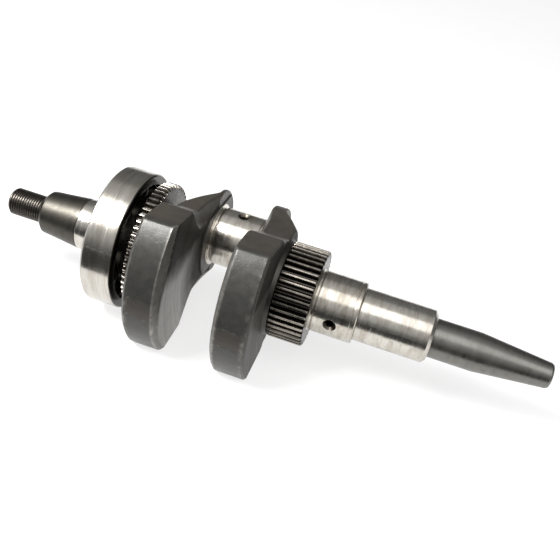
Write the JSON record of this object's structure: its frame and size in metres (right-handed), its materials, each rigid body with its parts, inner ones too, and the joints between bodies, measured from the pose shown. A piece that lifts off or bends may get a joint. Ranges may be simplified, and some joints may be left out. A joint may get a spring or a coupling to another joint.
{
  "type": "crankshaft",
  "caption": "Single-throw engine crankshaft with counterweights, ball bearing on the flywheel side, two gears and a tapered output end.",
  "frame": {"origin": "centre of the ball bearing, on the crank axis", "axes": "+X along the crank axis towards the tapered output end, +Y along the throw towards the crankpin, +Z square to both, up when the crank lies with its throw level"},
  "size_m": [0.32, 0.1158, 0.081],
  "materials": {
    "forged_steel": "dark forged steel with machined journals",
    "bearing_steel": "ground and polished",
    "ball_steel": "polished",
    "cage_steel": "pressed sheet",
    "balancer_gear_steel": "machined",
    "timing_gear_steel": "dark machined teeth",
    "key_steel": "bright drawn",
    "plug_steel": "machined"
  },
  "bodies": {
    "crank": {"crankshaft": "forged_steel", "oil_gallery_plug": "plug_steel", "bearing_inner_ring": "bearing_steel", "balancer_gear": "balancer_gear_steel", "balancer_gear_key": "key_steel", "timing_gear": "timing_gear_steel", "timing_gear_key": "key_steel"},
    "outer_ring": {"bearing_outer_ring": "bearing_steel"},
    "cage": {"bearing_cage_left": "cage_steel", "bearing_cage_right": "cage_steel", "bearing_cage_rivets": "cage_steel"},
    "ball_1": {"bearing_ball_1": "ball_steel"},
    "ball_2": {"bearing_ball_2": "ball_steel"},
    "ball_3": {"bearing_ball_3": "ball_steel"},
    "ball_4": {"bearing_ball_4": "ball_steel"},
    "ball_5": {"bearing_ball_5": "ball_steel"},
    "ball_6": {"bearing_ball_6": "ball_steel"},
    "ball_7": {"bearing_ball_7": "ball_steel"},
    "ball_8": {"bearing_ball_8": "ball_steel"},
    "ball_9": {"bearing_ball_9": "ball_steel"}
  },
  "joints": [
    {"name": "outer_ring_spin", "type": "hinge", "parent": "crank", "child": "outer_ring", "pos_m": [0, 0, 0], "axis": [1, 0, 0], "continuous": true},
    {"name": "cage_spin", "type": "hinge", "parent": "crank", "child": "cage", "pos_m": [0, 0, 0], "axis": [1, 0, 0], "continuous": true},
    {"name": "ball_1_spin", "type": "hinge", "parent": "cage", "child": "ball_1", "pos_m": [0, 0.03, 0], "axis": [1, 0, 0], "continuous": true},
    {"name": "ball_2_spin", "type": "hinge", "parent": "cage", "child": "ball_2", "pos_m": [0, 0.02298, 0.01928], "axis": [1, 0, 0], "continuous": true},
    {"name": "ball_3_spin", "type": "hinge", "parent": "cage", "child": "ball_3", "pos_m": [0, 0.00521, 0.02954], "axis": [1, 0, 0], "continuous": true},
    {"name": "ball_4_spin", "type": "hinge", "parent": "cage", "child": "ball_4", "pos_m": [0, -0.015, 0.02598], "axis": [1, 0, 0], "continuous": true},
    {"name": "ball_5_spin", "type": "hinge", "parent": "cage", "child": "ball_5", "pos_m": [0, -0.02819, 0.01026], "axis": [1, 0, 0], "continuous": true},
    {"name": "ball_6_spin", "type": "hinge", "parent": "cage", "child": "ball_6", "pos_m": [0, -0.02819, -0.01026], "axis": [1, 0, 0], "continuous": true},
    {"name": "ball_7_spin", "type": "hinge", "parent": "cage", "child": "ball_7", "pos_m": [0, -0.015, -0.02598], "axis": [1, 0, 0], "continuous": true},
    {"name": "ball_8_spin", "type": "hinge", "parent": "cage", "child": "ball_8", "pos_m": [0, 0.00521, -0.02954], "axis": [1, 0, 0], "continuous": true},
    {"name": "ball_9_spin", "type": "hinge", "parent": "cage", "child": "ball_9", "pos_m": [0, 0.02298, -0.01928], "axis": [1, 0, 0], "continuous": true}
  ],
  "couplings": [
    {"joint": "cage_spin", "follows": "outer_ring_spin", "ratio": 0.59917},
    {"joint": "ball_1_spin", "follows": "outer_ring_spin", "ratio": 2.4218},
    {"joint": "ball_2_spin", "follows": "outer_ring_spin", "ratio": 2.4218},
    {"joint": "ball_3_spin", "follows": "outer_ring_spin", "ratio": 2.4218},
    {"joint": "ball_4_spin", "follows": "outer_ring_spin", "ratio": 2.4218},
    {"joint": "ball_5_spin", "follows": "outer_ring_spin", "ratio": 2.4218},
    {"joint": "ball_6_spin", "follows": "outer_ring_spin", "ratio": 2.4218},
    {"joint": "ball_7_spin", "follows": "outer_ring_spin", "ratio": 2.4218},
    {"joint": "ball_8_spin", "follows": "outer_ring_spin", "ratio": 2.4218},
    {"joint": "ball_9_spin", "follows": "outer_ring_spin", "ratio": 2.4218}
  ]
}
